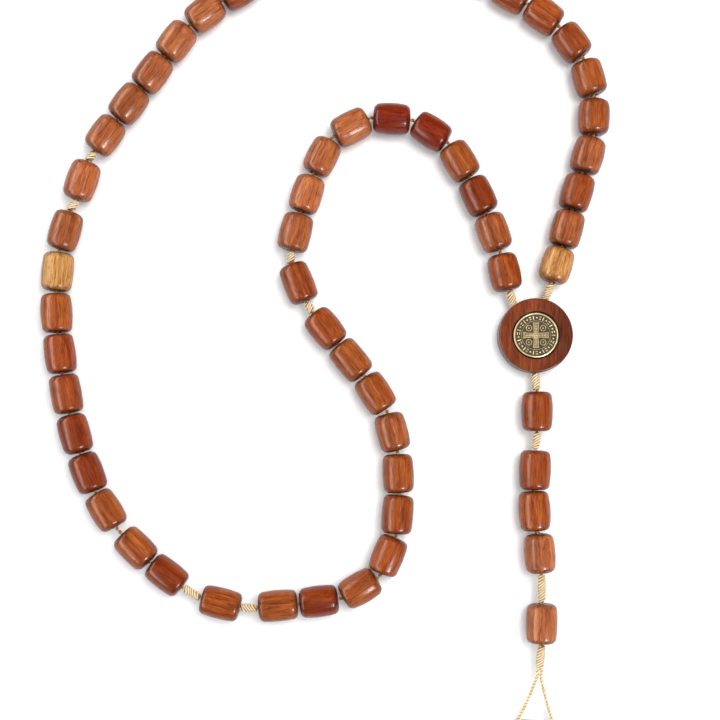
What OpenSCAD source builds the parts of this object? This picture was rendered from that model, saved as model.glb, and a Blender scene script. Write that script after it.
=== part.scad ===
// Knotted-cord rosary of barrel-shaped wooden beads, laid out flat on a table.
// +X is to the right, +Y away from the cross, +Z up. The origin is the centre of
// the round medallion's flat back, which lies on the table.
// The loop is followed from the medallion's left mouth, through decades 1 to 5,
// back to its right mouth. Each decade lifts like a bail about the line between
// the two knots that end it, so the loop stays closed as it moves.

/* [Beads] */
// Greatest diameter of a bead
bead_d = 12; // [11:0.25:12]
// Longest bead
bead_l = 14.9; // [14:0.1:15]
// How far a bead's side bulges past its shoulders
bead_bulge = 0.6; // [0.3:0.1:0.8]
// Radius of the shoulder between a bead's side and its end face
bead_shoulder_r = 2.3; // [1.8:0.1:2.6]
// Diameter of the hole along a bead
bead_bore_d = 2.6; // [2.6:0.1:3]
// Least space between two beads on the cord
bead_gap = 0.35; // [0.35:0.05:0.5]
// Most that hand turning leaves a bead short of the full diameter
bead_d_spread = 0.35; // [0:0.05:0.6]
// Most that hand turning leaves a bead short of the full length
bead_l_spread = 0.2; // [0:0.05:0.5]
// Length of the four large-prayer beads between the decades
our_father_l = 14.8; // [14:0.1:15]

/* [Cord] */
// Diameter of the two-ply cord
cord_d = 1.4; // [1.2:0.1:1.5]
// Greatest diameter of a barrel knot
knot_d = 3.5; // [3:0.1:3.6]
// Space between a knot and the bead that moves past it
knot_gap = 0.4; // [0.3:0.05:0.45]

/* [Medallion] */
// Diameter of the wooden disc
disc_d = 27.5; // [26:0.5:29]
// Thickness of the wooden disc
disc_h = 8; // [7.5:0.5:9]
// Chamfer on the disc's edges
disc_chamfer = 0.8; // [0.4:0.1:1.2]
// Diameter of the recess that holds the medal
recess_d = 17.3; // [17:0.1:18]
// Depth of the recess
recess_depth = 1.8; // [1.7:0.1:2]
// Diameter of the bronze medal
medal_d = 16.5; // [16:0.1:16.8]
// Thickness of the medal at its rim
medal_h = 1.6; // [1.4:0.1:1.7]
// Width of the medal's raised rim
medal_rim_w = 0.7; // [0.5:0.1:1]
// Height of the medal's rim above its field
medal_rim_h = 0.35; // [0.2:0.05:0.5]
// Diameter of the two side mouths, one strand each
mouth_d = 2.6; // [2.4:0.1:2.8]
// Diameter of the bottom mouth, for both strands
bottom_mouth_d = 3.6; // [3.4:0.1:3.7]

/* [Cross] */
// Length of the upright lath
cross_h = 60; // [55:1:66]
// Span of the cross-piece
cross_w = 38; // [34:1:42]
// Width of both laths
lath_w = 11; // [10:0.5:11.5]
// Thickness of both laths
lath_t = 7; // [6:0.5:8]
// Distance from the top of the upright to the middle of the cross-piece
arm_drop = 20; // [18:1:24]
// Chamfer on the edges of the laths
lath_chamfer = 1.2; // [0.6:0.1:1.6]
// Diameter of the hole across the top of the upright
cross_bore_d = 2.6; // [2.6:0.1:2.8]

/* [Hidden] */
$fn = 48;
COLORS = ["#7b3a22", "#8f4a2b", "#6b2d1f", "#9a5a33", "#84452a"];
cord_color = "#d9c9a3";
cord_sides = 8;
bead_count = 10;
decade_count = 5;
single_decades = 3;          // these decades have a node for each bead
axis_z = bead_d / 2;         // the beads lie on the table
mouth_z = disc_h / 2;
knot_r = knot_d / 2;
face_r = bead_d / 2 - bead_bulge - bead_shoulder_r;
bend_room = 0.4;             // keeps the shoulders of two tilted beads apart
turn_r = face_r + bend_room; // where the ends of two tilted beads come closest
lie_share = 0.45;            // of the pitch, from a bead's middle to where its ends follow the path
spline_steps = 12;
shoulder_steps = 4;
side_steps = 6;
strand_offset = 0.75;        // half the spacing of two strands side by side
strand_meet_y = -3;          // where the two strands start to run side by side
strand_tuck = 1;             // how far they run on into the knot at the bottom mouth
mouth_gap = 0.1;             // space between a mouth and the knot that stops at it
ball_share = [0.3, 0.71];    // of a knot's radius, along and across, on its rounded end
mouth_angle = [124, 74];     // side mouths of the medallion, from +X
bead_seed = 7;
seed_step = 20;              // between the first beads of two decades
our_father_seed = 200;
pendant_seed = 300;
pendant_d_seed = 310;

// Large-prayer beads between the decades: middle and direction of the cord.
OUR_FATHERS = [
  [-88, 19.5, -68],
  [-117, -99.5, 165.5],
  [-168.5, 57.5, 71],
  [-36.5, 144.5, -27]
];

// Space for the knot before and after each decade, from face to face.
KNOT_SPACES = [[4.6, 3.2], [2.6, 6.6], [5, 4.4], [2.6, 4], [4.2, 6.6]];

// Slack that shows as bare cord within a decade: after which bead, and how long.
SLACKS = [[0, 0], [0, 0], [2, 2.2], [0, 0], [0, 0]];

// Where the cord of each decade runs, between the knots.
DECADE_ROUTES = [
  [[-10.5, 18], [-11.5, 24], [-15.5, 39], [-21.5, 52], [-28.5, 66], [-38.5, 77],
   [-53.5, 81], [-70, 78.5], [-80, 66.5], [-84.5, 53], [-89.5, 39], [-91, 30]],
  [[-84, 10], [-77.5, 2], [-68, -10], [-58.5, -22], [-52.5, -36], [-51, -51],
   [-51, -66], [-54, -82], [-64, -95.5], [-80, -98.5], [-95, -100.5]],
  [[-127, -96.5], [-137, -89], [-149, -79], [-160, -65], [-166.5, -51], [-171.5, -36],
   [-174.5, -21], [-177, -5.5], [-178, 9], [-178, 24], [-175, 39]],
  [[-165, 67], [-159.5, 75], [-151, 86], [-142.5, 97.5], [-134, 108.5], [-125, 119],
   [-112, 127], [-99.5, 134.5], [-86.5, 141.5], [-72.5, 147], [-58, 149.5], [-48, 149]],
  [[-25, 137.5], [-19.5, 133.5], [-10, 127], [3, 119.5], [14, 109], [20.5, 95.5],
   [22, 81], [20, 67.5], [15.5, 54.5], [12, 40.5], [8, 26.5]]
];

// Middles of the pendant's five beads, from the medallion down to the cross.
PENDANT = [[0.6, -28.2], [-0.2, -50], [-0.4, -65.2], [1.6, -81], [2.3, -107]];
pendant_l = 14.9;

// The cross hangs on a loop through its top: middle of the hole and lean from -Y.
cross_hole = [0, -147.5, 3.5];
cross_lean = -4;
hole_drop = 3.5;                        // from the top of the upright to the hole

// One side of the cord loop, from the knot to the middle of the hole, in the
// frame of the hole. The other side mirrors it.
LOOP_SIDE = [[0.75, 23, 2], [0.85, 20, 1.8], [3.2, 12.5, 1.2], [5.3, 6.8, 0.6],
             [6.7, 3.6, 0.2], [6.9, 2.1, 0.1], [6.2, 0.7, 0], [4.4, 0, 0], [0, 0, 0]];

// ---- small functions -------------------------------------------------------

function unit(v) = v / norm(v);
function flat(a) = [cos(a), sin(a), 0];
function raised(p, z) = [p[0], p[1], z];
function spread(seed, most) = most * rands(0, 1, 1, seed)[0];

// Catmull-Rom point between b and c.
function blend_point(a, b, c, d, t) =
  0.5 * (2 * b + (c - a) * t + (2 * a - 5 * b + 4 * c - d) * t * t
         + (3 * b - a - 3 * c + d) * t * t * t);

function smooth(p) = [
  for (i = [0 : len(p) - 2], k = [0 : spline_steps - 1])
    blend_point(p[max(i - 1, 0)], p[i], p[i + 1], p[min(i + 2, len(p) - 1)], k / spline_steps),
  p[len(p) - 1]
];

// Turn of a path at point i, in degrees.
function turn(p, i) =
  i < 2 ? 0 : let (a = p[i - 1] - p[i - 2], b = p[i] - p[i - 1])
    acos(min(1, a * b / (norm(a) * norm(b))));

// Room for beads along a path: its length, less what its bends take from them.
function room(p) = [
  for (i = 0, w = 0; i < len(p);
       i = i + 1,
       w = i < len(p) ? w + norm(p[i] - p[i - 1]) - turn_r * turn(p, i) * PI / 180 : w)
    w
];

// ---- layout: a bead is [middle, direction, length, diameter] ----------------

function entry(b) = b[0] - b[1] * b[2] / 2;
function exit(b) = b[0] + b[1] * b[2] / 2;
function turned_d(seed) = bead_d - spread(seed, bead_d_spread);

function our_father(i) =
  let (p = OUR_FATHERS[i])
    [[p[0], p[1], axis_z], flat(p[2]), our_father_l, turned_d(bead_seed + our_father_seed + i)];

function mouth(i) = raised(disc_d / 2 * flat(mouth_angle[i]), mouth_z);

function route_start(k) = k == 0 ? mouth(0) : exit(our_father(k - 1));
function route_end(k) = k == decade_count - 1 ? mouth(1) : entry(our_father(k));

function flat_route(k) = smooth(concat(
  [[route_start(k)[0], route_start(k)[1]]],
  DECADE_ROUTES[k],
  [[route_end(k)[0], route_end(k)[1]]]));

function decade(k) =
  let (path = flat_route(k),
       w = room(path),
       xs = [for (i = [0 : len(path) - 1]) [w[i], path[i][0]]],
       ys = [for (i = [0 : len(path) - 1]) [w[i], path[i][1]]],
       first = KNOT_SPACES[k][0],
       slack = SLACKS[k],
       pitch = (w[len(w) - 1] - KNOT_SPACES[k][1] - first - slack[1]) / bead_count)
    [for (i = [0 : bead_count - 1])
      let (m = first + (i + 0.5) * pitch + (i < slack[0] ? 0 : slack[1]),
           lie = lie_share * pitch,
           back = [lookup(m - lie, xs), lookup(m - lie, ys), axis_z],
           front = [lookup(m + lie, xs), lookup(m + lie, ys), axis_z],
           seed = bead_seed + seed_step * k + i)
        [(back + front) / 2, unit(front - back),
         min(pitch - bead_gap, bead_l) - spread(seed, bead_l_spread), turned_d(seed + 0.5)]];

DECADES = [for (k = [0 : decade_count - 1]) decade(k)];

function pendant_bead(i) =
  let (n = len(PENDANT),
       up = i == 0 ? [0, -disc_d / 2] : PENDANT[i - 1],
       down = i == n - 1 ? [cross_hole[0], cross_hole[1]] : PENDANT[i + 1])
    [raised(PENDANT[i], axis_z), unit(raised(down - up, 0)),
     pendant_l - spread(bead_seed + pendant_seed + i, bead_l_spread),
     turned_d(bead_seed + pendant_d_seed + i)];

PENDANT_BEADS = [for (i = [0 : len(PENDANT) - 1]) pendant_bead(i)];

// ---- shapes ----------------------------------------------------------------

// Half outline of a bead about its own axis, bore included.
function bead_outline(l, d) =
  let (bore = bead_bore_d / 2, shoulder_z = l / 2 - bead_shoulder_r,
       half = concat(
         [[bore, l / 2]],
         [for (i = [0 : shoulder_steps])
           let (a = 90 - 90 * i / shoulder_steps)
             [d / 2 - bead_bulge - bead_shoulder_r * (1 - cos(a)),
              shoulder_z + bead_shoulder_r * sin(a)]],
         [for (i = [1 : side_steps / 2 - 1])
           let (t = 1 - 2 * i / side_steps)
             [d / 2 - bead_bulge * t * t, shoulder_z * t]]))
    concat(half, [[d / 2, 0]],
           [for (i = [len(half) - 1 : -1 : 0]) [half[i][0], -half[i][1]]]);

// Stands a piece made along +Z at a point, along a level direction.
module along(place, direction)
  translate(place)
    rotate([0, 90, atan2(direction[1], direction[0])])
      children();

module bead(b)
  along(b[0], b[1])
    rotate_extrude() polygon(bead_outline(b[2], b[3]));

// A tube through [point, radius] rings.
module tube(rings) {
  last = len(rings) - 1;
  n = cord_sides;
  points = [
    for (i = [0 : last])
      let (ahead = rings[min(i + 1, last)][0] - rings[max(i - 1, 0)][0],
           side = unit(cross(ahead, [0, 0, 1])),
           up = unit(cross(side, ahead)))
        for (k = [0 : n - 1])
          rings[i][0] + rings[i][1] * (cos(360 * k / n) * side + sin(360 * k / n) * up)
  ];
  walls = [
    for (i = [0 : last - 1], k = [0 : n - 1], half = [0, 1])
      let (a = i * n + k, b = i * n + (k + 1) % n)
        half == 0 ? [a, b, b + n] : [a, b + n, a + n]
  ];
  first_cap = [for (k = [n - 1 : -1 : 0]) k];
  last_cap = [for (k = [0 : n - 1]) last * n + k];
  polyhedron(points, concat([first_cap], walls, [last_cap]));
}

// ---- cord: every knot is a swelling of the cord itself ----------------------

// Rings of a barrel knot from a to b. Its ends are balls, so that a bead can tilt
// about the middle of one without touching it.
function knot(a, b, first_r = cord_d / 2, last_r = cord_d / 2) =
  let (u = unit(b - a), r = knot_r, near = ball_share[0] * r, wide = ball_share[1] * r)
    [[a, first_r], [a + near * u, max(wide, first_r)], [a + r * u, r],
     [b - r * u, r], [b - near * u, max(wide, last_r)], [b, last_r]];

// The same, held the knot's clearance away from the faces at both ends.
function knot_between(a, b) =
  let (u = unit(b - a))
    knot(a + knot_gap * u, b - knot_gap * u);

// Cord through a row of beads, with a ring at each gap.
function threaded(beads) = concat(
  [[entry(beads[0]), cord_d / 2]],
  len(beads) < 2 ? [] : [for (i = [1 : len(beads) - 1])
    [(exit(beads[i - 1]) + entry(beads[i])) / 2, cord_d / 2]],
  [[exit(beads[len(beads) - 1]), cord_d / 2]]);

first_bead_of = [for (d = DECADES) d[0]];
last_bead_of = [for (d = DECADES) d[bead_count - 1]];
bottom_mouth = [0, -disc_d / 2, mouth_z];
hole = [cross_hole[0], cross_hole[1], lath_t / 2];
loop_top = from_hole([0, LOOP_SIDE[0][1] + knot_gap, LOOP_SIDE[0][2]]);

function from_hole(p) =
  hole + [p[0] * cos(cross_lean) - p[1] * sin(cross_lean),
          p[0] * sin(cross_lean) + p[1] * cos(cross_lean), p[2]];

// ---- sub-parts ---------------------------------------------------------------

module medallion_disc() {
  r = disc_d / 2;
  c = disc_chamfer;
  floor_z = disc_h - recess_depth;
  color(COLORS[0])
    difference() {
      rotate_extrude()
        polygon([[0, 0], [r - c, 0], [r, c], [r, disc_h - c], [r - c, disc_h],
                 [recess_d / 2, disc_h], [recess_d / 2, floor_z], [0, floor_z]]);
      for (a = mouth_angle)
        translate([0, 0, mouth_z])
          rotate([0, 90, a])
            cylinder(d = mouth_d, h = disc_d);
      translate([0, 0, mouth_z])
        rotate([0, 90, -90])
          cylinder(d = bottom_mouth_d, h = disc_d);
    }
}

module medal() {
  r = medal_d / 2;
  field_z = medal_h - medal_rim_h;
  color("#8a7a4e")
    translate([0, 0, disc_h - recess_depth])
      rotate_extrude()
        polygon([[0, 0], [r, 0], [r, medal_h], [r - medal_rim_w, medal_h],
                 [r - medal_rim_w - medal_rim_h, field_z], [0, field_z]]);
}

// One end of the loop cord: its knot at a side mouth, then down to the bottom mouth.
module mouth_strand(i, side, face, inner_reach) {
  x = side * strand_offset;
  toward_rim = unit(mouth(i) - face);
  tube(concat(
    knot(face + knot_gap * toward_rim, mouth(i) - mouth_gap * toward_rim),
    [[mouth(i) - flat(mouth_angle[i]), cord_d / 2],
     [raised(inner_reach * flat(mouth_angle[i]), mouth_z), cord_d / 2],
     [[x, strand_meet_y, mouth_z], cord_d / 2],
     [[x, bottom_mouth[1] - strand_tuck, mouth_z], cord_d / 2]]));
}

// Both ends leave side by side at the bottom mouth, tied into the pendant's first knot.
module medallion_cord() {
  first = entry(PENDANT_BEADS[0]);
  knot_start = bottom_mouth - [0, mouth_gap, 0];
  color(cord_color) {
    mouth_strand(0, -1, entry(first_bead_of[0]), cord_d);
    mouth_strand(1, 1, exit(last_bead_of[decade_count - 1]), 2 * cord_d);
    tube(knot(knot_start, first - knot_gap * unit(first - knot_start),
              strand_offset + cord_d / 2));
  }
}

module decade_bead(k, i) color(COLORS[(3 * k + 7 * i) % 5]) bead(DECADES[k][i]);
module decade_beads(k) for (i = [0 : bead_count - 1]) decade_bead(k, i);
module decade_cord(k) color(cord_color) tube(threaded(DECADES[k]));

module our_father_bead(i) color(COLORS[i]) bead(our_father(i));

module our_father_cord(i) {
  large = our_father(i);
  color(cord_color)
    tube(concat(knot_between(exit(last_bead_of[i]), entry(large)),
                knot_between(exit(large), entry(first_bead_of[i + 1]))));
}

module pendant_bead_piece(i) color(COLORS[(2 * i + 1) % 5]) bead(PENDANT_BEADS[i]);

module pendant_cord_1()
  color(cord_color)
    tube(concat([[entry(PENDANT_BEADS[0]), cord_d / 2]],
                knot_between(exit(PENDANT_BEADS[0]), entry(PENDANT_BEADS[1]))));

module pendant_cord_2() {
  three = [for (i = [1 : 3]) PENDANT_BEADS[i]];
  path = threaded(three);
  color(cord_color)
    tube(concat([for (i = [0 : len(path) - 2]) path[i]],
                knot_between(exit(three[2]), entry(PENDANT_BEADS[4]))));
}

module pendant_cord_3() {
  from = exit(PENDANT_BEADS[4]);
  color(cord_color)
    tube(concat([[entry(PENDANT_BEADS[4]), cord_d / 2]],
                knot(from + knot_gap * unit(loop_top - from), loop_top)));
}

module cross_loop() {
  last = len(LOOP_SIDE) - 1;
  right = [for (p = LOOP_SIDE) [from_hole(p), cord_d / 2]];
  left = [for (i = [last - 1 : -1 : 0])
    [from_hole([-LOOP_SIDE[i][0], LOOP_SIDE[i][1], LOOP_SIDE[i][2]]), cord_d / 2]];
  color(cord_color) tube(concat(right, left));
}

function chamfered(w, h) =
  let (x = w / 2, y = h / 2, c = lath_chamfer)
    [[x - c, y], [x, y - c], [x, c - y], [x - c, -y],
     [c - x, -y], [-x, c - y], [-x, y - c], [c - x, y]];

// A lath along Y with all its edges chamfered, about its own middle.
module lath(l)
  intersection() {
    linear_extrude(lath_t, center = true) polygon(chamfered(lath_w, l));
    rotate([90, 0, 0]) linear_extrude(l, center = true) polygon(chamfered(lath_w, lath_t));
    rotate([0, 90, 0]) linear_extrude(lath_w, center = true) polygon(chamfered(lath_t, l));
  }

module at_hole() translate(hole) rotate([0, 0, cross_lean]) children();

module cross_post()
  color(COLORS[4])
    at_hole()
      difference() {
        translate([0, hole_drop - cross_h / 2, 0]) lath(cross_h);
        translate([-lath_w, hole_drop - arm_drop - lath_w / 2, 0])
          cube([2 * lath_w, lath_w, lath_t]);
        rotate([0, 90, 0]) cylinder(d = cross_bore_d, h = 2 * lath_w, center = true);
      }

module cross_arm()
  color(COLORS[3])
    at_hole()
      translate([0, hole_drop - arm_drop, 0])
        difference() {
          rotate([0, 0, 90]) lath(cross_w);
          translate([-lath_w / 2, -lath_w, -lath_t]) cube([lath_w, 2 * lath_w, lath_t]);
        }

// ---- nodes -------------------------------------------------------------------

medallion_disc();
medal();
medallion_cord();
for (k = [1 : single_decades], i = [1 : bead_count])
  decade_bead(k - 1, i - 1);
for (k = [single_decades + 1 : decade_count])
  decade_beads(k - 1);
for (k = [1 : decade_count])
  decade_cord(k - 1);
for (i = [1 : len(OUR_FATHERS)])
  our_father_bead(i - 1);
for (i = [1 : len(OUR_FATHERS)])
  our_father_cord(i - 1);
for (i = [1 : len(PENDANT)])
  pendant_bead_piece(i - 1);
pendant_cord_1();
pendant_cord_2();
pendant_cord_3();
cross_loop();
cross_post();
cross_arm();
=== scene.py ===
import math
import random

import bpy
import numpy as np
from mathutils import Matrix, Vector


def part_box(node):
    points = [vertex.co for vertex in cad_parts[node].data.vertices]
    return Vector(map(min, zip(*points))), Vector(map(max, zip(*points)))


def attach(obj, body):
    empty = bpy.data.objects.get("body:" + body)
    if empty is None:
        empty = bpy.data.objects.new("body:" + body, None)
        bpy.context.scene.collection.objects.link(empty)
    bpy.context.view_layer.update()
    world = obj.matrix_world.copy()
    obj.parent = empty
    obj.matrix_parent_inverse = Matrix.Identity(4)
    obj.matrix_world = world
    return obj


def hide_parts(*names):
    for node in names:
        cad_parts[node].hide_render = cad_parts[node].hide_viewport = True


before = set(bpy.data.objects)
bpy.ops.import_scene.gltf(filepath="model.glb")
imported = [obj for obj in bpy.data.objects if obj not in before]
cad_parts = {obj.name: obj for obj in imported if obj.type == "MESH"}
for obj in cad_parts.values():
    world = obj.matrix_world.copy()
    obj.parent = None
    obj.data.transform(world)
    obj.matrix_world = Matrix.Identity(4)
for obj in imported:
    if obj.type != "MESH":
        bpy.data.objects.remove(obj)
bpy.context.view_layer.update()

# The object's and the camera's lengths are in millimetres, and MM turns them into metres.
MM = 0.001
UP = np.array([0.0, 0.0, 1.0])
DECADES = 5
BEADS = 10
PENDANT_BEADS = 5


def unit(v):
    v = np.asarray(v, float)
    return v / np.linalg.norm(v)


# ---- camera: straight down, with its axis nearer the cross than the view's middle ---

SENSOR = 36.0
VIEW_CENTRE = (-65.2, -9.1)
VIEW_WIDTH = 267.5
AXIS_Z = 6.0
CAMERA_RISE = 470.0
AXIS_BELOW = 30.0

camera_data = bpy.data.cameras.new("camera")
camera_data.sensor_width = SENSOR
camera_data.lens = SENSOR * CAMERA_RISE / VIEW_WIDTH
camera_data.shift_y = AXIS_BELOW / VIEW_WIDTH
camera_data.clip_start = 0.01
camera_data.clip_end = 20
camera = bpy.data.objects.new("camera", camera_data)
camera.location = (VIEW_CENTRE[0] * MM, (VIEW_CENTRE[1] - AXIS_BELOW) * MM,
                   (AXIS_Z + CAMERA_RISE) * MM)
bpy.context.scene.collection.objects.link(camera)
bpy.context.scene.camera = camera


# ---- meshes --------------------------------------------------------------------

class Build:
    """Gathers closed surfaces, in millimetres, into one mesh with its attributes."""

    def __init__(self):
        self.points, self.faces, self.count = [], [], 0
        self.values = {}

    def add(self, points, faces, **values):
        self.points.append(np.asarray(points, float))
        self.faces.extend([tuple(i + self.count for i in f) for f in faces])
        for key, value in values.items():
            self.values.setdefault(key, []).append(np.asarray(value, float))
        self.count += len(points)

    def mesh(self, name):
        mesh = bpy.data.meshes.new(name)
        mesh.from_pydata((np.concatenate(self.points) * MM).tolist(), [], self.faces)
        for key, parts in self.values.items():
            set_attribute(mesh, key, np.concatenate(parts))
        mesh.shade_smooth()
        mesh.update()
        return mesh


def set_attribute(mesh, key, data):
    data = np.asarray(data, np.float32)
    if data.ndim == 1:
        mesh.attributes.new(key, "FLOAT", "POINT").data.foreach_set("value", data)
    elif data.shape[1] == 3:
        mesh.attributes.new(key, "FLOAT_VECTOR", "POINT").data.foreach_set("vector", data.ravel())
    else:
        mesh.attributes.new(key, "FLOAT_COLOR", "POINT").data.foreach_set("color", data.ravel())


def mesh_points(mesh):
    """A mesh's points, in millimetres."""
    points = np.empty(len(mesh.vertices) * 3)
    mesh.vertices.foreach_get("co", points)
    return points.reshape(-1, 3) / MM


def ring_faces(rings, sides, closed=False):
    """Quads between rings of points; without closed, both ends get a cap."""
    faces = []
    for i in range(rings if closed else rings - 1):
        a, b = i * sides, (i + 1) % rings * sides
        for j in range(sides):
            k = (j + 1) % sides
            faces.append((a + j, a + k, b + k, b + j))
    if not closed:
        faces.append(tuple(range(sides - 1, -1, -1)))
        faces.append(tuple((rings - 1) * sides + j for j in range(sides)))
    return faces


def place(mesh, name, material, body, node):
    """Puts a piece in the scene, in place of its CAD node and riding on a body."""
    obj = bpy.data.objects.new(name, mesh)
    bpy.context.scene.collection.objects.link(obj)
    mesh.materials.clear()
    mesh.materials.append(material)
    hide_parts(node)
    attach(obj, body)
    return obj


# ---- materials -----------------------------------------------------------------

class Nodes:
    """A material's node tree, with short calls to make and join its nodes.

    An input given as i0, i1 and so on is meant by its number, the others by name.
    """

    def __init__(self, name):
        self.material = bpy.data.materials.new(name)
        self.material.use_nodes = True
        self.tree = self.material.node_tree
        self.shader = self.tree.nodes["Principled BSDF"]

    def feed(self, socket, value):
        if isinstance(value, bpy.types.NodeSocket):
            self.tree.links.new(value, socket)
        else:
            socket.default_value = value

    def node(self, kind, out=0, settings=(), **inputs):
        n = self.tree.nodes.new(kind)
        for key, value in dict(settings).items():
            setattr(n, key, value)
        for key, value in inputs.items():
            self.feed(n.inputs[int(key[1:])] if key[1:].isdigit() else n.inputs[key], value)
        return n.outputs[out]

    def attribute(self, name, out="Vector"):
        n = self.tree.nodes.new("ShaderNodeAttribute")
        n.attribute_name = name
        return n.outputs[out]

    def stretched(self, vector, scale):
        return self.node("ShaderNodeMapping", Vector=vector, Scale=scale)

    def noise(self, vector, scale=1.0, detail=3.0, roughness=0.5, distortion=0.0):
        return self.node("ShaderNodeTexNoise", Vector=vector, Scale=scale, Detail=detail,
                         Roughness=roughness, Distortion=distortion)

    def remap(self, value, low, high, to_low=0.0, to_high=1.0):
        return self.node("ShaderNodeMapRange", settings={"interpolation_type": "SMOOTHSTEP"},
                         Value=value, i1=low, i2=high, i3=to_low, i4=to_high)

    def math(self, operation, a, b):
        return self.node("ShaderNodeMath", settings={"operation": operation}, i0=a, i1=b)

    def ramp(self, value, *stops):
        n = self.tree.nodes.new("ShaderNodeValToRGB")
        elements = n.color_ramp.elements
        while len(elements) < len(stops):
            elements.new(0.5)
        for element, (position, colour) in zip(elements, stops):
            element.position = position
            element.color = (*colour, 1)
        self.feed(n.inputs[0], value)
        return n.outputs[0]

    def mix(self, blend, factor, a, b):
        return self.node("ShaderNodeMix", out=2, i0=factor, i6=a, i7=b,
                         settings={"data_type": "RGBA", "blend_type": blend})

    def bump(self, height, distance, strength=1.0):
        return self.node("ShaderNodeBump", Height=height, Distance=distance, Strength=strength)

    def finish(self, **inputs):
        for key, value in inputs.items():
            self.feed(self.shader.inputs[key.replace("_", " ")], value)
        return self.material


def wood(name, band, fibre, end_and_shade_tone=(0.36, 0.25, 0.22)):
    """Varnished wood with its grain along the first component of the attribute grain.

    band and fibre say how often the broad figure and the fine one change across the
    grain. The attribute tint is the wood's own colour, except in the medallion's recess,
    where it is painted shade. end darkens the wood: on the cross's ends it is end grain,
    on the beads' end faces it is end grain and painted shade in the gaps between beads,
    and in the beads' bores, on the medallion's side wall and in its recess it is painted
    shade. Towards its outline, as the camera sees it, the wood is darkened as painted shade.
    """
    n = Nodes(name)
    grain = n.attribute("grain")
    tint = n.attribute("tint", "Color")
    wavy = n.noise(n.stretched(grain, (0.030, band, band)), detail=2, roughness=0.5, distortion=0.5)
    figure = n.noise(n.stretched(grain, (0.08, 1.15, 1.15)), detail=5, roughness=0.6,
                     distortion=0.3)
    fine = n.noise(n.stretched(grain, (0.16, fibre, fibre)), detail=5, roughness=0.7)
    dash = n.noise(n.stretched(grain, (0.30, 2.9, 2.9)), detail=3, roughness=0.55)
    pores = n.remap(dash, 0.56, 0.66)
    mottle = n.noise(grain, scale=0.20, detail=2)
    colour = n.mix("MULTIPLY", 0.75, tint,
                   n.ramp(wavy, (0.32, (0.62, 0.48, 0.42)), (0.47, (0.92, 0.88, 0.86)),
                          (0.58, (1.04, 1.06, 1.06)), (0.72, (1.22, 1.38, 1.42))))
    colour = n.mix("MULTIPLY", 0.70, colour,
                   n.ramp(figure, (0.34, (0.56, 0.42, 0.36)), (0.48, (1, 1, 1)),
                          (0.68, (1.24, 1.36, 1.42))))
    colour = n.mix("MULTIPLY", 0.85, colour,
                   n.ramp(fine, (0.32, (0.50, 0.37, 0.30)), (0.50, (1, 1, 1)),
                          (0.72, (1.30, 1.46, 1.52))))
    colour = n.mix("MULTIPLY", 0.7, colour,
                   n.ramp(mottle, (0.35, (0.84, 0.78, 0.76)), (0.65, (1.12, 1.16, 1.14))))
    colour = n.mix("MIX", n.math("MULTIPLY", pores, 0.62), colour, (0.050, 0.012, 0.005, 1))
    # Darkened where end is high: end grain on the beads' faces and the cross's ends, and painted
    # shade in the gaps between beads, in the bores, on the disc's side wall and in its recess.
    ends = n.math("MULTIPLY", n.attribute("end", "Fac"), n.remap(dash, 0.38, 0.62, 0.55, 1.5))
    colour = n.mix("MULTIPLY", ends, colour, (*end_and_shade_tone, 1))
    # Painted shade: the wood darkens towards its outline as the camera sees it.
    facing = n.node("ShaderNodeLayerWeight", out=1, Blend=0.5)
    colour = n.mix("MULTIPLY", n.remap(facing, 0.35, 1.0), colour, (0.50, 0.36, 0.30, 1))
    rough = n.math("ADD", n.remap(fine, 0.3, 0.7, 0.24, 0.34), n.math("MULTIPLY", pores, 0.18))
    height = n.math("SUBTRACT", fine, n.math("MULTIPLY", pores, 0.9))
    return n.finish(Base_Color=colour, Roughness=rough, Coat_Weight=0.22, Coat_Roughness=0.19,
                    Specular_IOR_Level=0.16,
                    Normal=n.bump(height, 0.00005, 0.7), Coat_Normal=n.bump(height, 0.00002, 0.5))


def cord_material():
    """Cream cord: filaments along each strand, and painted brown shade down in its creases."""
    n = Nodes("cord")
    strand = n.attribute("strand")
    crease = n.attribute("crease", "Fac")
    filament = n.noise(n.stretched(strand, (0.9, 5.0, 1.0)), detail=3, roughness=0.6)
    blotch = n.noise(n.stretched(strand, (0.35, 0.5, 1.0)), detail=2)
    colour = n.ramp(blotch, (0.3, (0.78, 0.60, 0.36)), (0.55, (0.90, 0.74, 0.48)),
                    (0.75, (0.95, 0.84, 0.62)))
    colour = n.mix("MULTIPLY", 0.8, colour,
                   n.ramp(filament, (0.32, (0.62, 0.52, 0.40)), (0.55, (1, 1, 1)),
                          (0.75, (1.12, 1.12, 1.12))))
    # Painted shade: the higher the crease value, the browner the cord.
    colour = n.mix("MIX", n.remap(crease, 0.06, 0.34, 0.0, 0.95), colour, (0.33, 0.155, 0.042, 1))
    rough = n.remap(filament, 0.3, 0.7, 0.55, 0.78)
    return n.finish(Base_Color=colour, Roughness=rough, Sheen_Weight=0.25, Sheen_Roughness=0.5,
                    Specular_IOR_Level=0.3, Normal=n.bump(filament, 0.00009, 0.9))


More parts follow.
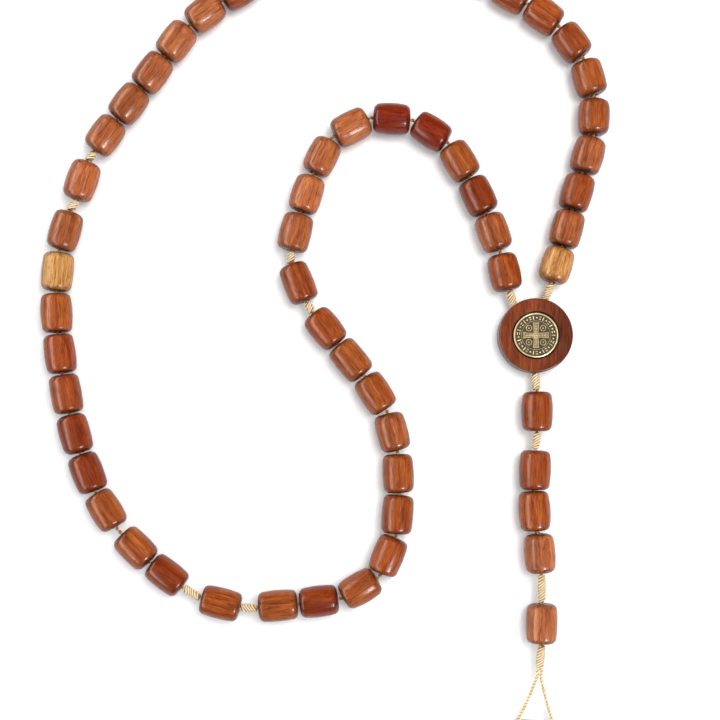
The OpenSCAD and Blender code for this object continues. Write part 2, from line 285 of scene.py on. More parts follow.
def bronze_material():
    """Antique bronze: dark in the hollows, rubbed bright on what stands up."""
    n = Nodes("antique_bronze")
    place_on = n.attribute("grain")
    relief = n.attribute("relief", "Fac")
    fine = n.noise(place_on, scale=4.0, detail=4, roughness=0.7)
    broad = n.noise(place_on, scale=0.6, detail=3)
    rubbed = n.math("ADD", relief, n.remap(fine, 0.3, 0.7, -0.22, 0.22))
    colour = n.ramp(rubbed, (0.04, (0.050, 0.036, 0.018)), (0.30, (0.19, 0.14, 0.065)),
                    (0.58, (0.55, 0.43, 0.22)), (0.92, (0.86, 0.72, 0.42)))
    colour = n.mix("MULTIPLY", 0.6, colour,
                   n.ramp(broad, (0.35, (0.72, 0.70, 0.66)), (0.65, (1.15, 1.12, 1.05))))
    metal = n.remap(rubbed, 0.1, 0.6, 0.25, 0.55)
    rough = n.remap(rubbed, 0.1, 0.8, 0.62, 0.34)
    return n.finish(Base_Color=colour, Metallic=metal, Roughness=rough,
                    Normal=n.bump(fine, 0.00004, 0.6))


WOOD_BEAD = wood("bead_wood", 0.42, 2.2)
WOOD_DISC = wood("disc_wood", 0.34, 1.9)
WOOD_CROSS = wood("cross_wood", 0.30, 2.0)
CORD = cord_material()
BRONZE = bronze_material()


# ---- where the beads are, read from the CAD model ------------------------------

def islands(obj):
    """The separate solids of a node, each as its points in millimetres."""
    mesh = obj.data
    points = mesh_points(mesh)
    keys = {}
    same = [keys.setdefault(tuple(np.round(p, 3)), i) for i, p in enumerate(points)]
    root = list(range(len(points)))

    def find(i):
        while root[i] != i:
            root[i] = root[root[i]]
            i = root[i]
        return i

    for face in mesh.polygons:
        first = find(same[face.vertices[0]])
        for v in face.vertices[1:]:
            root[find(same[v])] = first
    groups = {}
    for i in range(len(points)):
        groups.setdefault(find(same[i]), []).append(i)
    return [points[g] for g in groups.values()]


class Bead:
    """A bead's middle, direction, length and diameter, measured on its CAD solid.

    A round solid spreads equally across its axis, in X-Y and in Z, so the axis is the
    direction in X-Y whose spread differs most from the spread in Z.
    """

    def __init__(self, name, body, node, points):
        lo, hi = points.min(0), points.max(0)
        unique = np.unique(np.round(points, 3), axis=0)
        self.name, self.body, self.node = name, body, node
        flat = unique[:, :2] - (lo + hi)[:2] / 2
        values, vectors = np.linalg.eigh(np.cov(flat.T))
        depth = unique[:, 2].var()
        pick = int(np.argmax(np.abs(values - depth)))
        self.axis = np.array([vectors[0, pick], vectors[1, pick], 0.0])
        along = flat @ self.axis[:2]
        across = (lo + hi)[:2] / 2 + self.axis[:2] * (along.max() + along.min()) / 2
        self.middle = np.array([*across, (lo[2] + hi[2]) / 2])
        self.length = along.max() - along.min()
        self.width = hi[2] - lo[2]

    def toward(self, point):
        """Points the bead's axis away from what comes before it."""
        if np.dot(self.axis, self.middle - point) < 0:
            self.axis = -self.axis
        return self

    def entry(self):
        return self.middle - self.axis * self.length / 2

    def exit(self):
        return self.middle + self.axis * self.length / 2


def single(name):
    return Bead(name, name, name, islands(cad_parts[name])[0])


def grouped(decade, start):
    """The ten solids of one node, in their order along the cord."""
    node = f"decade_{decade}_beads"
    left = [Bead("", f"decade_{decade}", node, p) for p in islands(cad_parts[node])]
    row = []
    while left:
        near = min(left, key=lambda b: np.linalg.norm(b.middle - start))
        left.remove(near)
        start = near.middle
        row.append(near)
        near.name = f"decade_{decade}_bead_{len(row)}"
    return row


fathers = [single(f"our_father_bead_{i}") for i in range(1, DECADES)]
pendant = [single(f"pendant_bead_{i}") for i in range(1, PENDANT_BEADS + 1)]
decades = []
for k in range(1, DECADES + 1):
    before = np.zeros(3) if k == 1 else fathers[k - 2].middle
    if f"decade_{k}_beads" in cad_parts:
        row = grouped(k, before)
    else:
        row = [single(f"decade_{k}_bead_{i}") for i in range(1, BEADS + 1)]
    for bead in row:
        bead.toward(before)
        before = bead.middle
    decades.append(row)
for i, bead in enumerate(fathers):
    bead.toward(decades[i][-1].middle)
before = np.zeros(3)
for bead in pendant:
    bead.toward(before)
    before = bead.middle


# ---- cords and knots -----------------------------------------------------------

DISC_R = 13.75
MOUTH_Z = 4.0
MOUTH_ANGLES = (124.0, 74.0)
CORD_R = 0.7
KNOT_R = 1.75
KNOT_GAP = 0.4
WRAP_PITCH = 1.1
WRAP_FILL = 0.80
WRAP_TILT = 0.75
WRAP_STEPS = 26
STRAND_OFFSET = 0.75
HOLE = np.array([0.0, -147.5, 3.5])
CROSS_LEAN = math.radians(-4.0)
# The loop's right strand, given from the cross's hole, down from the knot to the middle.
LOOP_SIDE = [(0.75, 23, 2), (0.85, 20, 1.8), (3.2, 12.5, 1.2), (5.3, 6.8, 0.6), (6.7, 3.6, 0.2),
             (6.9, 2.1, 0.1), (6.2, 0.7, 0), (4.4, 0, 0), (0, 0, 0)]


def mouth(degrees):
    """The middle of a cord mouth on the disc's side wall."""
    a = math.radians(degrees)
    return np.array([DISC_R * math.cos(a), DISC_R * math.sin(a), MOUTH_Z])


def from_hole(p):
    """A point given from the cross's hole, with Y up the cross, in the object's frame."""
    c, s = math.cos(CROSS_LEAN), math.sin(CROSS_LEAN)
    return HOLE + np.array([p[0] * c - p[1] * s, p[0] * s + p[1] * c, p[2]])


def smooth(points, steps=8):
    """A Catmull-Rom curve through the points."""
    p = [np.asarray(q, float) for q in points]
    out = []
    for i in range(len(p) - 1):
        a, b, c, d = p[max(i - 1, 0)], p[i], p[i + 1], p[min(i + 2, len(p) - 1)]
        for k in range(steps):
            t = k / steps
            out.append(0.5 * (2 * b + (c - a) * t + (2 * a - 5 * b + 4 * c - d) * t ** 2
                              + (3 * b - a - 3 * c + d) * t ** 3))
    return np.array(out + [p[-1]])


def distances(points):
    """How far along the line each of its points lies."""
    return np.concatenate([[0], np.cumsum(np.linalg.norm(np.diff(points, axis=0), axis=1))])


def even(points, step):
    """The same line with points an even step apart, and how far along they lie."""
    points = np.asarray(points, float)
    far = distances(points)
    n = max(3, int(round(far[-1] / step)) + 1)
    s = np.linspace(0, far[-1], n)
    return np.stack([np.interp(s, far, points[:, i]) for i in range(3)], axis=1), s


def frames(points):
    """Two directions across a line that turn with it as little as they can."""
    tangents = np.gradient(points, axis=0)
    tangents /= np.linalg.norm(tangents, axis=1)[:, None]
    side = np.cross(UP, tangents[0])
    across = []
    for t in tangents:
        side = unit(side - t * np.dot(side, t))
        across.append(side)
    across = np.array(across)
    return across, np.cross(tangents, across)


def tube(build, points, far, radius, sides, inward, seed, crease_shade_shift=0.0):
    """A round tube. inward is the direction, at each point, of the crease beside it; the side
    facing it gets a higher crease value, which the cord's material paints as brown shade. The last
    argument is added to the crease's value, for more or less of that painted shade."""
    across, over = frames(points)
    turn = np.linspace(0, 2 * math.pi, sides, endpoint=False)
    out = (across[:, None, :] * np.cos(turn)[None, :, None]
           + over[:, None, :] * np.sin(turn)[None, :, None])
    radius = np.broadcast_to(radius, len(points))
    skin = points[:, None, :] + out * radius[:, None, None]
    # The crease value, painted as brown shade, is highest on the side facing inward.
    crease = (1 + np.einsum("ijk,ik->ij", out, inward)) / 2 + crease_shade_shift
    strand = np.stack([np.broadcast_to(far[:, None], crease.shape),
                       np.broadcast_to(turn[None, :] / math.pi + far[:, None] * 0.25, crease.shape),
                       np.full(crease.shape, seed)], axis=2)
    build.add(skin.reshape(-1, 3), ring_faces(len(points), sides),
              crease=crease.ravel(), strand=strand.reshape(-1, 3))


def twisted(build, line, pitch=3.4, step=0.42, seed=0.0, sides=9, crease_shade_shift=0.0):
    """A cord of two strands laid round each other along a line."""
    points, far = even(line, step)
    across, over = frames(points)
    for ply in range(2):
        angle = 2 * math.pi * far / pitch + math.pi * ply + seed
        out = across * np.cos(angle)[:, None] + over * np.sin(angle)[:, None]
        tube(build, points + out * CORD_R * 0.47, far, CORD_R * 0.53, sides, -out,
             seed + 5 * ply, crease_shade_shift)


def knot(build, a, b, seed, gap_a=KNOT_GAP, gap_b=KNOT_GAP):
    """A barrel knot between two faces: slanting wraps of the cord round its own core."""
    u = unit(b - a)
    a, b = a + u * gap_a, b - u * gap_b
    length = np.linalg.norm(b - a)
    turns = max(3.5, round(2 * length / WRAP_PITCH) / 2)
    side = unit(np.cross(UP, u))
    over = np.cross(u, side)
    thick = length / (2 * turns) * WRAP_FILL / math.hypot(1, WRAP_TILT)
    n = int(turns * WRAP_STEPS) + 1
    t = np.linspace(0, 1, n)
    angle = 2 * math.pi * turns * t + seed
    swell = 0.72 + 0.28 * (1 - np.abs(2 * t - 1) ** 3.0)
    ring = (KNOT_R - thick) * swell
    lean = -WRAP_TILT * ring * np.cos(angle) * np.sin(math.pi * t) ** 0.5
    along = np.clip(thick + (length - 2 * thick) * t + lean, 0.7 * thick, length - 0.7 * thick)
    out = side * np.cos(angle)[:, None] + over * np.sin(angle)[:, None]
    points = a + u * along[:, None] + out * ring[:, None]
    ends = np.clip(np.minimum(np.arange(n), np.arange(n)[::-1]) / 5, 0, 1)
    tube(build, points, distances(points), thick * (0.45 + 0.55 * np.sqrt(ends)), 12, -out, seed)
    core, far = even([a, b], 0.4)
    swell = np.sin(math.pi * np.linspace(0.04, 0.96, len(core))) ** 0.4
    # With no inward direction the core's crease value is one half all over, so the core is painted
    # brown as shade.
    tube(build, core, far, (KNOT_R - 1.25 * thick) * swell + 0.05, 14, np.zeros(core.shape), seed)


def pivot(face, other):
    """The point that a cord bends about: the middle of the ball that ends a knot by a face."""
    return face + (KNOT_R + KNOT_GAP) * unit(other - face)


def through(beads, start, end):
    """The line of a cord from start, through the bores, to end."""
    points = [start]
    for bead in beads:
        points += [bead.entry(), bead.middle, bead.exit()]
    return smooth(points + [end])


# The loop through the cross: down one strand, through, and up the other. Both start
# inside the knot.
LOOP_STRAND = [(0.30, 24.9, 2.0), *LOOP_SIDE]
loop_points = [from_hole(p) for p in LOOP_STRAND]
loop_points += [from_hole((-x, y, z)) for x, y, z in LOOP_STRAND[-2::-1]]
loop_line, loop_far = even(smooth(loop_points, 10), 0.4)
build = Build()
# The loop gets less painted crease shade than the other cords.
twisted(build, loop_line, pitch=2.6, step=0.26, seed=1.3, sides=12, crease_shade_shift=-0.20)
loop = place(build.mesh("cross_loop_cord"), "cross_loop_cord", CORD, "cross_loop",
             "cross_loop")

for k, row in enumerate(decades):
    start_face = mouth(MOUTH_ANGLES[0]) if k == 0 else fathers[k - 1].exit()
    end_face = mouth(MOUTH_ANGLES[1]) if k == DECADES - 1 else fathers[k].entry()
    line = through(row, pivot(row[0].entry(), start_face), pivot(row[-1].exit(), end_face))
    build = Build()
    # The cord between the beads gets more painted crease shade, for the shade in the gaps.
    twisted(build, line, seed=0.7 * k, crease_shade_shift=0.16)
    name = f"decade_{k + 1}_cord"
    place(build.mesh(name), name + "_line", CORD, f"decade_{k + 1}", name)

build = Build()
for i, (angle, face) in enumerate([(MOUTH_ANGLES[0], decades[0][0].entry()),
                                   (MOUTH_ANGLES[1], decades[-1][-1].exit())]):
    knot(build, mouth(angle), face, 0.4 + i, gap_a=-0.1)
    s = STRAND_OFFSET * (-1, 1)[i]
    line = [mouth(angle) * [share, share, 1] for share in (1.04, 0.9, 0.1)]
    line += [[s, -3, MOUTH_Z], [s, -DISC_R - 0.6, MOUTH_Z]]
    twisted(build, smooth(line), seed=2.0 + i)
bottom = np.array([0, -DISC_R, MOUTH_Z])
knot(build, bottom, pendant[0].entry(), 2.6, gap_a=0.1)
place(build.mesh("medallion_cord"), "medallion_knots", CORD, "medallion", "medallion_cord")

for i, bead in enumerate(fathers):
    build = Build()
    a, b = decades[i][-1].exit(), bead.entry()
    c, d = bead.exit(), decades[i + 1][0].entry()
    knot(build, a, b, 0.3 + i)
    knot(build, c, d, 1.7 + i)
    twisted(build, smooth([pivot(b, a), b, bead.middle, c, pivot(c, d)]), seed=0.9 * i)
    name = f"our_father_cord_{i + 1}"
    place(build.mesh(name), name + "_knots", CORD, "medallion", name)

loop_top = from_hole((0, LOOP_SIDE[0][1] + KNOT_GAP, LOOP_SIDE[0][2]))
for i, (row, start_face, end_face, gap_b) in enumerate([
        (pendant[:1], bottom, pendant[1].entry(), KNOT_GAP),
        (pendant[1:4], pendant[0].exit(), pendant[4].entry(), KNOT_GAP),
        (pendant[4:], pendant[3].exit(), loop_top, 0.0)]):
    build = Build()
    end = row[-1].exit()
    line = through(row, pivot(row[0].entry(), start_face), pivot(end, end_face))
    twisted(build, line, seed=1.1 * i)
    knot(build, end, end_face, 0.8 * i, gap_b=gap_b)
    name = f"pendant_cord_{i + 1}"
    place(build.mesh(name), name + "_knot", CORD, f"pendant_{i + 1}", name)


# ---- beads ---------------------------------------------------------------------

# Wood tones, from maroon to golden, each under the letter that the strings below use
# for the beads in their order along the cord.
TONES = {
    "m": (0.206, 0.017, 0.001),
    "d": (0.216, 0.029, 0.001),
    "r": (0.288, 0.052, 0.006),
    "o": (0.306, 0.065, 0.008),
    "c": (0.333, 0.085, 0.021),
    "t": (0.408, 0.114, 0.033),
    "g": (0.524, 0.236, 0.064),
}
DECADE_TONES = ["rcdommtttc", "roocorrodo", "dooddrrogc", "cccttrrrrr", "crrroocrcg"]
FATHER_TONES = "rrtr"
PENDANT_TONES = "rrott"
BEAD_SIDES = 56
SHOULDER = 2.45
SHOULDER_STEPS = 8
BULGE = 0.62
BULGE_STEPS = 7
DOME = 0.10
BORE_R = 1.3
BEAD_SEED = 1000


def bead_profile(length, width, shoulder, bulge):
    """Half the outline from the bore out to the middle: distance along, radius, end value."""
    half = length / 2
    slope = 2 * bulge / half * (half - shoulder) / half
    rim_x = half - shoulder * (1 - math.sin(slope))
    rim_r = width / 2 - bulge * (rim_x / half) ** 2
    mid_x, mid_r = rim_x - shoulder * math.sin(slope), rim_r - shoulder * math.cos(slope)
    # The end value darkens the bore as painted shade, and the end face as end grain and as painted
    # shade in the gap to the next bead; it fades out over the shoulder.
    rows = [(half - 3.0, BORE_R, 1.0), (half - 1.0, BORE_R, 1.0), (half - 0.45, BORE_R + 0.04, 1.0),
            (half - 0.16, BORE_R + 0.16, 1.0), (half - 0.05, BORE_R + 0.36, 0.95)]
    # The end face leans back a little from the bore out to the shoulder.
    tilt = DOME / (mid_r - BORE_R)
    for t in (0.35, 0.7):
        out = BORE_R + 0.36 + (mid_r - BORE_R - 0.36) * t
        rows.append((half - tilt * (out - BORE_R) * t, out, 0.9))
    for k in range(SHOULDER_STEPS + 1):
        a = math.pi / 2 - (math.pi / 2 - slope) * k / SHOULDER_STEPS
        left = 1 - k / SHOULDER_STEPS
        rows.append((mid_x + shoulder * math.sin(a) - DOME * left, mid_r + shoulder * math.cos(a),
                     0.9 * left ** 0.85))
    for k in range(1, BULGE_STEPS + 1):
        x = rim_x * (1 - k / BULGE_STEPS)
        rows.append((x, width / 2 - bulge * (x / half) ** 2, 0.0))
    return rows


def make_bead(bead, tone, index):
    """A turned bead, not quite round or even, with its own grain and shade."""
    rng = random.Random(BEAD_SEED + index)
    half = bead_profile(bead.length, bead.width, SHOULDER + rng.uniform(-0.30, 0.45),
                        BULGE + rng.uniform(-0.14, 0.22))
    rows = [(-x, r, e) for x, r, e in half[:-1]] + half[::-1]
    x, r, end = (np.array(column)[:, None] for column in zip(*rows))
    turn = np.linspace(0, 2 * math.pi, BEAD_SIDES, endpoint=False)[None, :]
    p1, p2, p3, p4 = (rng.uniform(0, 2 * math.pi) for _ in range(4))
    uneven = (0.006 * np.cos(2 * turn + p1) + 0.004 * np.cos(3 * turn + p2 + 0.1 * x)
              + 0.005 * np.sin(0.42 * x + p3) - 0.009)
    r = r * (1 + uneven * np.clip((r - 2) / 2, 0, 1))
    lean = 0.05 * np.sin(turn + p4) * np.clip((r - 1.6) / 2, 0, 1) * np.sign(x) * (end > 0.5)
    local = np.stack([x + lean, r * np.cos(turn), r * np.sin(turn)], axis=2).reshape(-1, 3)
    side = np.cross(UP, bead.axis)
    points = bead.middle + local @ np.stack([bead.axis, side, UP])
    grain = local + [rng.uniform(0, 300), rng.uniform(0, 300), rng.uniform(0, 300)]
    shade, warm = rng.uniform(0.92, 1.08), rng.uniform(0.95, 1.06)
    base = [tone[0] * shade, tone[1] * shade * warm, tone[2] * shade * warm, 1.0]
    build = Build()
    build.add(points, ring_faces(len(rows), BEAD_SIDES, closed=True), grain=grain,
              end=np.broadcast_to(end, r.shape).ravel(), tint=np.tile(base, (len(local), 1)))
    place(build.mesh(bead.name), bead.name + "_turned", WOOD_BEAD, bead.body,
          bead.node)


index = 0
for beads, tones in zip(decades + [fathers, pendant], DECADE_TONES + [FATHER_TONES, PENDANT_TONES]):
    for bead, letter in zip(beads, tones):
        make_bead(bead, TONES[letter], index)
        index += 1


# ---- the medallion: a turned wooden disc with a metal medal in its recess --------

DISC_H = 8.0
RECESS_R = 8.65
RECESS_DEPTH = 1.8
WIDE_BORE_R = 1.8
EDGE_R = 0.8
DISC_SIDES = 144
AXIS_R = 0.001
# Where the painted shade on the side wall starts and ends, and where the painted shade in the
# recess does.
WALL_R, WALL_TOP = 13.2, 7.6
HOLLOW_R, HOLLOW_LOW = 8.9, 5.0
HOLLOW_SHADE = [0.035, 0.012, 0.008, 1]


def arc(cx, cz, r, start, stop, steps):
    """Points of an arc in a profile, as (radius, height)."""
    out = []
    for k in range(steps + 1):
        a = math.radians(start + (stop - start) * k / steps)
        out.append((cx + r * math.cos(a), cz + r * math.sin(a)))
    return out


def turned(profile, sides):
    """A solid turned about the vertical; the profile starts and ends on the axis side."""
    turn = np.linspace(0, 2 * math.pi, sides, endpoint=False)
    rings = np.array([[(r * math.cos(t), r * math.sin(t), z) for t in turn] for r, z in profile])
    return rings.reshape(-1, 3), ring_faces(len(profile), sides)


def cut(mesh, cutters):
    """The mesh less the cutter meshes."""
    obj = bpy.data.objects.new("cut", mesh)
    bpy.context.scene.collection.objects.link(obj)
    made = [obj]
    for cutter in cutters:
        tool = bpy.data.objects.new("tool", cutter)
        bpy.context.scene.collection.objects.link(tool)
        modifier = obj.modifiers.new("cut", "BOOLEAN")
        modifier.operation = "DIFFERENCE"
        modifier.solver = "EXACT"
        modifier.object = tool
        made.append(tool)
    bpy.context.view_layer.update()
    graph = bpy.context.evaluated_depsgraph_get()
    result = bpy.data.meshes.new_from_object(obj.evaluated_get(graph))
    for o in made:
        bpy.data.objects.remove(o)
    return result


def plain_mesh(points, faces):
    """A mesh with no attributes, to be cut or to cut with."""
    build = Build()
    build.add(points, faces)
    return build.mesh("plain")


def rod(a, b, radius, sides=40):
    """A straight cylinder from a to b."""
    a, b = np.asarray(a, float), np.asarray(b, float)
    across, over = frames(np.array([a, b]))
    turn = np.linspace(0, 2 * math.pi, sides, endpoint=False)
    ring = across[0] * np.cos(turn)[:, None] * radius + over[0] * np.sin(turn)[:, None] * radius
    return plain_mesh(np.concatenate([a + ring, b + ring]), ring_faces(2, sides))


top = DISC_H
floor_z = DISC_H - RECESS_DEPTH
profile = [(AXIS_R, 0.0), (DISC_R * 0.5, 0.0)]
profile += arc(DISC_R - EDGE_R, EDGE_R, EDGE_R, -90, 0, 6)
profile += [(DISC_R, 2.4), (DISC_R, 4.0), (DISC_R, 5.6)]
profile += arc(DISC_R - EDGE_R, top - EDGE_R, EDGE_R, 0, 90, 6)
profile += [(11.4, top), (RECESS_R + 1.0, top)]
profile += arc(RECESS_R + 0.3, top - 0.3, 0.3, 90, 180, 4)
profile += [(RECESS_R, top - 1.0), (RECESS_R, floor_z + 0.15), (RECESS_R - 0.15, floor_z)]
profile += [(5.0, floor_z), (AXIS_R, floor_z)]
disc_points, disc_faces = turned(profile, DISC_SIDES)
bores = [rod(mouth(a) * [0.35, 0.35, 1], mouth(a) * [1.2, 1.2, 1], BORE_R) for a in MOUTH_ANGLES]
bores.append(rod([0, -DISC_R * 0.35, MOUTH_Z], [0, -DISC_R * 1.2, MOUTH_Z], WIDE_BORE_R))
disc = cut(plain_mesh(disc_points, disc_faces), bores)
p = mesh_points(disc)
from_axis = np.hypot(p[:, 0], p[:, 1])
set_attribute(disc, "grain",
              np.stack([p[:, 1] * 0.9 + 40, p[:, 0] + 12, p[:, 2] * 0.8 + 90], axis=1))
# Painted shade: the side wall and the recess are darkened through end.
side_wall = np.clip((from_axis - WALL_R) / 0.5, 0, 1) * (p[:, 2] < WALL_TOP)
inside = (from_axis < HOLLOW_R) & (p[:, 2] > HOLLOW_LOW)
set_attribute(disc, "end", np.clip(side_wall * 0.55 + inside * 0.8, 0, 1))
right = np.clip((p[:, 0] + 2.0) / 14.0, 0, 1)[:, None]
warm_tone, deep_tone = np.array([0.205, 0.037, 0.005, 1]), np.array([0.098, 0.016, 0.004, 1])
tint = warm_tone * (1 - right) + deep_tone * right
# The recess's near-black tint is painted shade.
set_attribute(disc, "tint", np.where(inside[:, None], [HOLLOW_SHADE], tint))
disc.shade_smooth()
disc.set_sharp_from_angle(angle=math.radians(35))
place(disc, "medallion_disc_turned", WOOD_DISC, "medallion", "medallion_disc")


# The medal's face is one height map: a rim, a ring of marks, a plain cross and roundels.
MEDAL_R = 8.25
FIELD_DROP = 0.36
RIM_IN = 7.72
MARKS = 33
MARK_R = 6.52
INNER_LINE_R = 5.35
ROUNDEL_AT = 2.62
MEDAL_SIDES = 400


def raised(distance, width, soft=0.07):
    """1 inside width of a line, 0 outside, with a soft edge."""
    return 1 / (1 + np.exp((distance - width) / soft * 2.2))


def relief(x, y):
    """How high the medal's face stands, from 0 in the field to 1 at the rim."""
    r = np.hypot(x, y)
    a = np.arctan2(y, x)
    h = raised(RIM_IN - r, 0.0, 0.09)
    h = np.maximum(h, raised(np.abs(r - INNER_LINE_R), 0.10) * 0.5)
    sector = 2 * math.pi / MARKS
    off = (a + math.pi) % sector - sector / 2
    number = np.floor((a + math.pi) / sector).astype(int)
    around = np.abs(off * MARK_R)
    pellet = np.hypot(r - MARK_R, around)
    dash = np.hypot(np.maximum(np.abs(r - MARK_R) - 0.55, 0), np.maximum(around - 0.03, 0))
    bar = np.hypot(np.maximum(around - 0.28, 0),
                   np.maximum(np.abs(np.abs(r - MARK_R) - 0.42) - 0.03, 0))
    marks = np.where(number % 3 == 0, raised(pellet, 0.32), 0)
    marks = np.where(number % 3 == 1, raised(dash, 0.16), marks)
    marks = np.where(number % 3 == 2, raised(bar, 0.15), marks)
    h = np.maximum(h, marks * 0.85)
    for u, v in ((x, y), (y, x)):
        reach = np.abs(v)
        half = 0.72 + 0.30 * (reach / 4.6) ** 2
        inside = np.maximum(np.abs(u) - half, reach - 4.55)
        h = np.maximum(h, raised(np.abs(inside), 0.10) * 0.95)
        h = np.maximum(h, raised(inside, -0.15) * 0.40)
        for step in (1.25, 2.3, 3.35):
            spot = np.hypot(u, reach - step)
            h = np.maximum(h, raised(spot, 0.24) * 0.85)
    h = np.maximum(h, raised(r, 0.34) * 0.9)
    spot = np.hypot(np.abs(x) - ROUNDEL_AT, np.abs(y) - ROUNDEL_AT)
    h = np.maximum(h, raised(np.abs(spot - 1.02), 0.11) * 0.85)
    h = np.maximum(h, raised(spot, 0.30) * 0.8)
    return h


medal_lo, medal_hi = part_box("medal")
face_z, back_z = medal_hi[2] / MM, medal_lo[2] / MM
radii = np.concatenate([np.linspace(0.02, 7.9, 116), [8.0, 8.08, 8.15, 8.20, 8.24]])
turn = np.linspace(0, 2 * math.pi, MEDAL_SIDES, endpoint=False)
rr, tt = np.meshgrid(radii, turn, indexing="ij")
xx, yy = rr * np.cos(tt), rr * np.sin(tt)
height = relief(xx, yy)
rounded = 0.10 * np.clip((rr - 7.9) / 0.34, 0, 1) ** 2
zz = face_z - FIELD_DROP * (1 - height) - rounded
face = np.stack([xx, yy, zz], axis=2)
lows = [(MEDAL_R, face_z - 0.25), (MEDAL_R, back_z + 0.1), (MEDAL_R - 0.1, back_z), (0.02, back_z)]
walls = np.array([[(r * math.cos(t), r * math.sin(t), z) for t in turn] for r, z in lows])
medal_points = np.concatenate([face, walls])[::-1].reshape(-1, 3)
medal_relief = np.concatenate([height, np.full((len(lows), MEDAL_SIDES), 0.55)])[::-1]
build = Build()
build.add(medal_points, ring_faces(len(radii) + len(lows), MEDAL_SIDES),
          relief=medal_relief.ravel(), grain=medal_points)
place(build.mesh("medal"), "medal_struck", BRONZE, "medallion", "medal")


# ---- the cross: two laths halved into each other --------------------------------

CROSS_H = 60.0
CROSS_W = 38.0
LATH_W = 11.0
LATH_T = 7.0
LATH_BEVEL = 1.1
ARM_DROP = 20.0
HOLE_DROP = 3.5


def lath(length, parts=24):
    """A lath along X with rounded edges and ends, about its own middle."""
    half_w, half_t, r = LATH_W / 2, LATH_T / 2, LATH_BEVEL
    outline = []
    for cx, cz, start in ((half_w - r, half_t - r, 0), (-half_w + r, half_t - r, 90),
                          (-half_w + r, -half_t + r, 180), (half_w - r, -half_t + r, 270)):
        for k in range(5):
            a = math.radians(start + 90 * k / 4)
            outline.append((cx, cz, math.cos(a), math.sin(a)))
    outline = np.array(outline)
    stations = [(-length / 2 + r * (1 - math.sin(a)), r * (1 - math.cos(a)))
                for a in np.radians([90, 67.5, 45, 22.5, 0])]
    inner = [(x, 0.0) for x in np.linspace(-length / 2 + r, length / 2 - r, parts)[1:-1]]
    stations = stations + inner + [(-x, d) for x, d in stations[::-1]]
    rings = []
    for x, shrink in stations:
        w = outline[:, 0] + outline[:, 2] * (r - shrink)
        t = outline[:, 1] + outline[:, 3] * (r - shrink)
        rings.append(np.stack([np.full(len(w), x), w, t], axis=1))
    return np.concatenate(rings), ring_faces(len(stations), len(outline))


def block(lo, hi):
    """A plain box from one corner to the other."""
    x0, y0, z0, x1, y1, z1 = *lo, *hi
    points = [(x0, y0, z0), (x0, y1, z0), (x0, y1, z1), (x0, y0, z1),
              (x1, y0, z0), (x1, y1, z0), (x1, y1, z1), (x1, y0, z1)]
    return plain_mesh(np.array(points), ring_faces(2, 4))


def hang(mesh, name, seed, tone):
    """Moves a lath from the hole's own frame to its place, with its grain."""
    p = mesh_points(mesh)
    c, s = math.cos(CROSS_LEAN), math.sin(CROSS_LEAN)
    world = HOLE + np.stack([p[:, 0] * c - p[:, 1] * s, p[:, 0] * s + p[:, 1] * c, p[:, 2]], axis=1)
    mesh.vertices.foreach_set("co", (world * MM).ravel())
    mesh.update()
    along_y = name == "cross_post"
    first, second = (p[:, 1], p[:, 0]) if along_y else (p[:, 0], p[:, 1])
    set_attribute(mesh, "grain", np.stack([first + seed, second + 2 * seed, p[:, 2]], axis=1))
    tip = CROSS_H / 2 if along_y else CROSS_W / 2
    centre = HOLE_DROP - CROSS_H / 2 if along_y else 0.0
    set_attribute(mesh, "end", np.clip((np.abs(first - centre) - tip + 0.9) / 0.9, 0, 1) * 0.8)
    set_attribute(mesh, "tint", np.tile([*tone, 1.0], (len(p), 1)))
    mesh.shade_smooth()
    mesh.set_sharp_from_angle(angle=math.radians(40))
    place(mesh, name + "_lath", WOOD_CROSS, "cross", name)


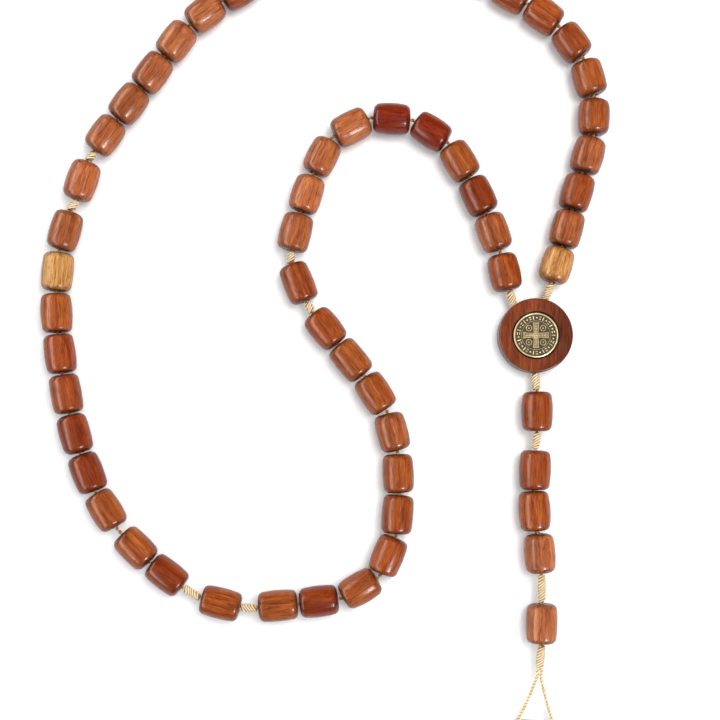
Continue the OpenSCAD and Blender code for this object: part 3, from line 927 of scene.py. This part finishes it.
arm_y = HOLE_DROP - ARM_DROP
points, faces = lath(CROSS_H)
points = np.stack([-points[:, 1], points[:, 0] + HOLE_DROP - CROSS_H / 2, points[:, 2]], axis=1)
post = cut(plain_mesh(points, faces),
           [block((-LATH_W, arm_y - LATH_W / 2, 0), (LATH_W, arm_y + LATH_W / 2, LATH_T)),
            rod((-LATH_W, 0, 0), (LATH_W, 0, 0), BORE_R)])
hang(post, "cross_post", 31, TONES["r"])
points, faces = lath(CROSS_W)
points = points + [0, arm_y, 0]
arm = cut(plain_mesh(points, faces),
          [block((-LATH_W / 2, arm_y - LATH_W, -LATH_T), (LATH_W / 2, arm_y + LATH_W, 0))])
hang(arm, "cross_arm", 77, TONES["c"])


# ---- floor and light -------------------------------------------------------------

FLOOR = 60.0
floor_mesh = bpy.data.meshes.new("floor")
floor_mesh.from_pydata([(-FLOOR, -FLOOR, 0), (FLOOR, -FLOOR, 0),
                        (FLOOR, FLOOR, 0), (-FLOOR, FLOOR, 0)], [], [(0, 1, 2, 3)])
floor = bpy.data.objects.new("floor", floor_mesh)
bpy.context.scene.collection.objects.link(floor)
floor_mesh.materials.append(Nodes("floor").finish(Base_Color=(0.97, 0.97, 0.97, 1),
                                                  Roughness=0.85, Specular_IOR_Level=0.1))


def lamp(name, place_at, aim, size, watts, colour=(1, 1, 1)):
    """A rectangular lamp at a place, turned to face its aim."""
    data = bpy.data.lights.new(name, "AREA")
    data.shape = "RECTANGLE"
    data.size, data.size_y = size
    data.energy = watts
    data.color = colour
    obj = bpy.data.objects.new(name, data)
    obj.location = place_at
    back = unit(np.array(place_at) - np.array(aim))
    obj.rotation_euler = Vector(back).to_track_quat("Z", "Y").to_euler()
    bpy.context.scene.collection.objects.link(obj)
    return obj


# The key light makes the shadows, and the strip and the spot make only highlights.
MIDDLE = (-0.065, -0.01, 0.0)
key = lamp("key", (0.27, 0.24, 1.08), MIDDLE, (0.65, 0.65), 10.0, (1.0, 0.99, 0.97))
key.visible_glossy = False
strip = lamp("left_strip", (-0.74, 0.05, 0.50), (-0.065, 0.05, 0), (1.9, 0.30), 19.0,
             (1.0, 0.94, 0.86))
strip.visible_diffuse = False
spot = lamp("low_right_spot", (0.36, -0.52, 0.55), MIDDLE, (0.22, 0.22), 9.0)
spot.visible_diffuse = False

world = bpy.data.worlds.new("world")
world.use_nodes = True
background = world.node_tree.nodes["Background"]
background.inputs["Color"].default_value = (0.94, 0.97, 1.0, 1)
background.inputs["Strength"].default_value = 0.90
bpy.context.scene.world = world
world.cycles_visibility.glossy = False
bpy.context.scene.view_settings.view_transform = "Standard"
